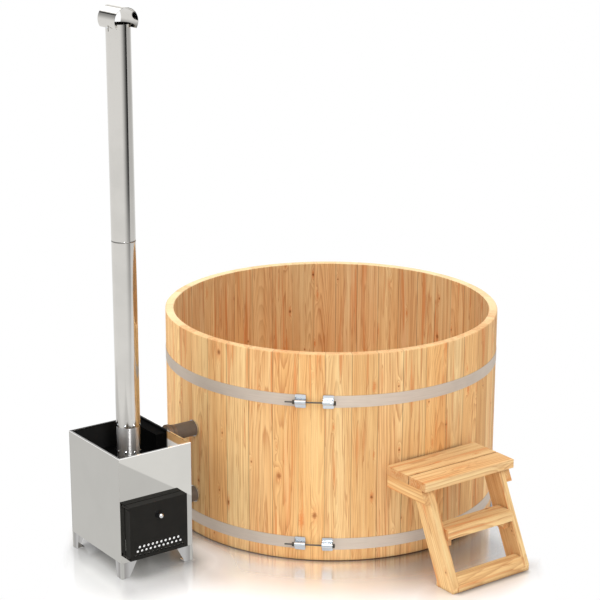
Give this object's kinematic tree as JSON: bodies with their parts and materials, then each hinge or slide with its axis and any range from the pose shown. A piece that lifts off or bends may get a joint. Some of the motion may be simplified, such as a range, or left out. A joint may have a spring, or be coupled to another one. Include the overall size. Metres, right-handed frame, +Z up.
{
  "type": "wooden hot tub",
  "caption": "Round staved wooden hot tub with steel bands, inside bench, outside wood stove on two hoses, riveted chimney with a rain cap, and loose wooden steps.",
  "frame": {"origin": "on the ground under the centre of the tub", "axes": "+Z up, -X towards the stove, -Y towards the steps"},
  "size_m": [2.4217, 2.2943, 2.8162],
  "materials": {
    "tub_wood": "planed softwood, clear oiled",
    "inside_wood": "planed softwood, untreated",
    "step_wood": "planed softwood, untreated",
    "band_steel": "satin stainless strip",
    "zinc_steel": "bright zinc plated",
    "dark_bolt": "blackened steel",
    "case_steel": "polished stainless sheet",
    "pipe_steel": "polished stainless tube",
    "fire_steel": "matt heat-proof black",
    "door_black": "satin black",
    "knob_chrome": "polished",
    "hose_rubber": "matt",
    "plug_rubber": "matt"
  },
  "bodies": {
    "tub_and_stove": {"wall_staves_1": "tub_wood", "wall_staves_2": "tub_wood", "wall_staves_3": "tub_wood", "wall_staves_4": "tub_wood", "wall_staves_5": "tub_wood", "wall_staves_6": "tub_wood", "floor_boards": "inside_wood", "floor_bearers": "inside_wood", "bench_boards": "inside_wood", "bench_rails": "inside_wood", "bench_uprights": "inside_wood", "upper_band": "band_steel", "lower_band": "band_steel", "upper_clamp": "zinc_steel", "lower_clamp": "zinc_steel", "flue_rivets": "zinc_steel", "water_stubs": "zinc_steel", "union_nuts": "zinc_steel", "hose_clips": "zinc_steel", "water_fittings": "zinc_steel", "fitting_nuts": "zinc_steel", "drain_body": "zinc_steel", "tension_bolts": "dark_bolt", "tension_nuts": "dark_bolt", "case_left": "case_steel", "case_right": "case_steel", "case_back": "case_steel", "case_front": "case_steel", "case_floor": "case_steel", "stove_legs": "case_steel", "door_lugs": "case_steel", "ash_pan": "case_steel", "flue_collar": "pipe_steel", "lower_pipe": "pipe_steel", "boiler_shell": "fire_steel", "firebox": "fire_steel", "flow_header": "fire_steel", "fire_grate": "fire_steel", "flue_spigot": "fire_steel", "flow_hose": "hose_rubber", "return_hose": "hose_rubber"},
    "door": {"door_tray": "door_black", "door_baffle": "case_steel", "hinge_rod": "case_steel", "knob_rose": "door_black", "door_knob": "knob_chrome"},
    "chimney_top": {"upper_pipe": "pipe_steel", "rain_cap": "pipe_steel", "cap_rivets": "zinc_steel"},
    "steps": {"deck_back_board": "step_wood", "deck_front_board": "step_wood", "left_cleat": "step_wood", "right_cleat": "step_wood", "left_leg": "step_wood", "right_leg": "step_wood", "lower_tread": "step_wood", "tread_cleats": "step_wood", "bottom_rail": "step_wood", "step_screws": "zinc_steel"},
    "drain_plug": {"drain_plug": "plug_rubber"}
  },
  "joints": [
    {"name": "door_hinge", "type": "hinge", "parent": "tub_and_stove", "child": "door", "pos_m": [-1.486, -0.325, 0.2515], "axis": [0, 0, -1], "range_deg": [0, 110]},
    {"name": "chimney_lift", "type": "slide", "parent": "tub_and_stove", "child": "chimney_top", "axis": [0, 0, 1], "range_m": [0, 0.07]},
    {"name": "steps_pull", "type": "slide", "parent": "tub_and_stove", "child": "steps", "axis": [0, -1, 0], "range_m": [0, 0.4]},
    {"name": "plug_pull", "type": "slide", "parent": "tub_and_stove", "child": "drain_plug", "axis": [0, 0, 1], "range_m": [0, 0.06]}
  ]
}
